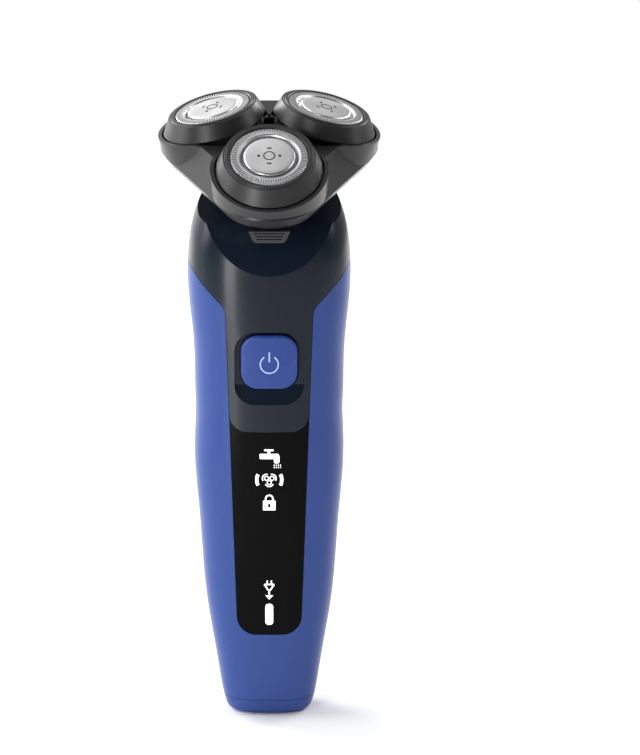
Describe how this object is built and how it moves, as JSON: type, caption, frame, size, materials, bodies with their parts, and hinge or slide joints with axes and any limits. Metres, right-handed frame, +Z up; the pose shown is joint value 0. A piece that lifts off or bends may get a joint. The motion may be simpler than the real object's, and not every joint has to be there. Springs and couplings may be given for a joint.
{
  "type": "electric shaver",
  "caption": "Upright cordless rotary shaver with a leaning head of flexing round cutters, a push button and a lit window.",
  "frame": {"origin": "centre of the charging inlet's mouth, on the flat base", "axes": "+Z up the handle, -Y the side with the power button, +X the side at right when the button faces the viewer"},
  "size_m": [0.0584, 0.0541, 0.1668],
  "materials": {
    "housing_blue": "satin moulded plastic",
    "cover_navy": "gloss moulded plastic",
    "window_black": "gloss window with printed pictograms",
    "button_blue": "satin-gloss moulded plastic",
    "inner_black": "moulded plastic",
    "contact_metal": "plated contact",
    "battery_wrap": "shrink wrap",
    "frame_grey": "moulded plastic",
    "frame_dark": "moulded plastic",
    "board_green": "solder mask",
    "screw_steel": "plated steel",
    "light_white": "clear to white diffuser",
    "motor_steel": "drawn steel",
    "magnet_grey": "ferrite",
    "seal_rubber": "moulded rubber",
    "gear_white": "acetal",
    "head_black": "satin moulded plastic",
    "ring_black": "soft satin plastic",
    "guard_steel": "slotted and brushed",
    "disc_steel": "radially polished",
    "cutter_steel": "ground blades"
  },
  "bodies": {
    "handle": {"rear_housing": "housing_blue", "front_cover": "cover_navy", "display_window": "window_black", "bottom_cap": "housing_blue", "charging_socket": "inner_black", "coupling_seat": "head_black", "battery_cell": "battery_wrap", "battery_contacts": "contact_metal", "chassis": "frame_grey", "circuit_board": "board_green", "board_screws": "screw_steel", "button_switch": "inner_black", "indicator_leds": "light_white", "light_guide": "light_white", "motor_case": "motor_steel", "motor_magnets": "magnet_grey", "gear_frame": "frame_grey", "seat_screws": "screw_steel", "shaft_seal": "seal_rubber", "charging_pins": "contact_metal"},
    "power_button": {"power_button": "button_blue"},
    "motor_rotor": {"motor_rotor": "motor_steel", "motor_pinion": "contact_metal"},
    "drive_gear": {"drive_gear": "gear_white"},
    "shaving_unit": {"hair_chamber": "head_black", "chamber_gasket": "seal_rubber", "gear_cover": "head_black", "hinge_pin": "screw_steel"},
    "release_tab": {"release_tab": "head_black"},
    "sun_gear": {"sun_gear": "gear_white"},
    "head_lid": {"head_holder": "head_black", "retaining_frame": "frame_dark"},
    "planet_front": {"planet_front": "gear_white"},
    "carrier_front": {"carrier_front": "frame_dark"},
    "head_front": {"flex_ring_front": "ring_black", "guard_front": "guard_steel", "guard_disc_front": "disc_steel"},
    "cutter_front": {"cutter_front": "cutter_steel"},
    "planet_right": {"planet_right": "gear_white"},
    "carrier_right": {"carrier_right": "frame_dark"},
    "head_right": {"flex_ring_right": "ring_black", "guard_right": "guard_steel", "guard_disc_right": "disc_steel"},
    "cutter_right": {"cutter_right": "cutter_steel"},
    "planet_left": {"planet_left": "gear_white"},
    "carrier_left": {"carrier_left": "frame_dark"},
    "head_left": {"flex_ring_left": "ring_black", "guard_left": "guard_steel", "guard_disc_left": "disc_steel"},
    "cutter_left": {"cutter_left": "cutter_steel"}
  },
  "joints": [
    {"name": "power_press", "type": "slide", "parent": "handle", "child": "power_button", "axis": [0, 1, 0], "range_m": [0, 0.0006], "stiffness_N_per_m": 600, "springref_m": -0.0008},
    {"name": "motor_spin", "type": "hinge", "parent": "handle", "child": "motor_rotor", "pos_m": [0, 0.00187, 0.11538], "axis": [0, -0.342, 0.9397], "continuous": true},
    {"name": "drive_turn", "type": "hinge", "parent": "handle", "child": "drive_gear", "pos_m": [0, 0.00392, 0.13315], "axis": [0, -0.342, 0.9397], "continuous": true},
    {"name": "unit_release", "type": "slide", "parent": "handle", "child": "shaving_unit", "axis": [0, -0.342, 0.9397], "range_m": [0, 0.02]},
    {"name": "tab_press", "type": "slide", "parent": "shaving_unit", "child": "release_tab", "axis": [0, 0.9397, 0.342], "range_m": [0, 0.001], "stiffness_N_per_m": 400, "springref_m": -0.0008},
    {"name": "sun_turn", "type": "hinge", "parent": "shaving_unit", "child": "sun_gear", "pos_m": [0, 0.00016, 0.14349], "axis": [0, -0.342, 0.9397], "continuous": true},
    {"name": "lid_open", "type": "hinge", "parent": "shaving_unit", "child": "head_lid", "pos_m": [0, 0.02005, 0.15403], "axis": [-1, 0, 0], "range_deg": [0, 100]},
    {"name": "planet_turn_front", "type": "hinge", "parent": "shaving_unit", "child": "planet_front", "pos_m": [0, -0.01394, 0.13836], "axis": [0, -0.342, 0.9397], "continuous": true},
    {"name": "carrier_tilt_front", "type": "hinge", "parent": "head_lid", "child": "carrier_front", "pos_m": [0, -0.01747, 0.14806], "axis": [1, 0, 0], "range_deg": [-4, 4], "stiffness_Nm_per_rad": 0.2},
    {"name": "head_tilt_front", "type": "hinge", "parent": "carrier_front", "child": "head_front", "pos_m": [0, -0.01747, 0.14806], "axis": [0, -0.809, -0.5878], "range_deg": [-4, 4], "stiffness_Nm_per_rad": 0.2},
    {"name": "cutter_turn_front", "type": "hinge", "parent": "head_front", "child": "cutter_front", "pos_m": [0, -0.01747, 0.14806], "axis": [0, -0.5878, 0.809], "continuous": true},
    {"name": "planet_turn_right", "type": "hinge", "parent": "shaving_unit", "child": "planet_right", "pos_m": [0.01299, 0.0072, 0.14605], "axis": [0, -0.342, 0.9397], "continuous": true},
    {"name": "carrier_tilt_right", "type": "hinge", "parent": "head_lid", "child": "carrier_right", "pos_m": [0.01299, 0.00367, 0.15576], "axis": [-0.5, 0.8138, 0.2962], "range_deg": [-4, 4], "stiffness_Nm_per_rad": 0.2},
    {"name": "head_tilt_right", "type": "hinge", "parent": "carrier_right", "child": "head_right", "pos_m": [0.01299, 0.00367, 0.15576], "axis": [0.8325, 0.5459, -0.0946], "range_deg": [-4, 4], "stiffness_Nm_per_rad": 0.2},
    {"name": "cutter_turn_right", "type": "hinge", "parent": "head_right", "child": "cutter_right", "pos_m": [0.01299, 0.00367, 0.15576], "axis": [0.2387, -0.1993, 0.9504], "continuous": true},
    {"name": "planet_turn_left", "type": "hinge", "parent": "shaving_unit", "child": "planet_left", "pos_m": [-0.01299, 0.0072, 0.14605], "axis": [0, -0.342, 0.9397], "continuous": true},
    {"name": "carrier_tilt_left", "type": "hinge", "parent": "head_lid", "child": "carrier_left", "pos_m": [-0.01299, 0.00367, 0.15576], "axis": [-0.5, -0.8138, -0.2962], "range_deg": [-4, 4], "stiffness_Nm_per_rad": 0.2},
    {"name": "head_tilt_left", "type": "hinge", "parent": "carrier_left", "child": "head_left", "pos_m": [-0.01299, 0.00367, 0.15576], "axis": [-0.8325, 0.5459, -0.0946], "range_deg": [-4, 4], "stiffness_Nm_per_rad": 0.2},
    {"name": "cutter_turn_left", "type": "hinge", "parent": "head_left", "child": "cutter_left", "pos_m": [-0.01299, 0.00367, 0.15576], "axis": [-0.2387, -0.1993, 0.9504], "continuous": true}
  ],
  "couplings": [
    {"joint": "drive_turn", "follows": "motor_spin", "ratio": -0.33333},
    {"joint": "sun_turn", "follows": "motor_spin", "ratio": -0.33333},
    {"joint": "planet_turn_front", "follows": "motor_spin", "ratio": 0.70833},
    {"joint": "cutter_turn_front", "follows": "motor_spin", "ratio": 0.70833},
    {"joint": "planet_turn_right", "follows": "motor_spin", "ratio": 0.70833},
    {"joint": "cutter_turn_right", "follows": "motor_spin", "ratio": 0.70833},
    {"joint": "planet_turn_left", "follows": "motor_spin", "ratio": 0.70833},
    {"joint": "cutter_turn_left", "follows": "motor_spin", "ratio": 0.70833}
  ]
}
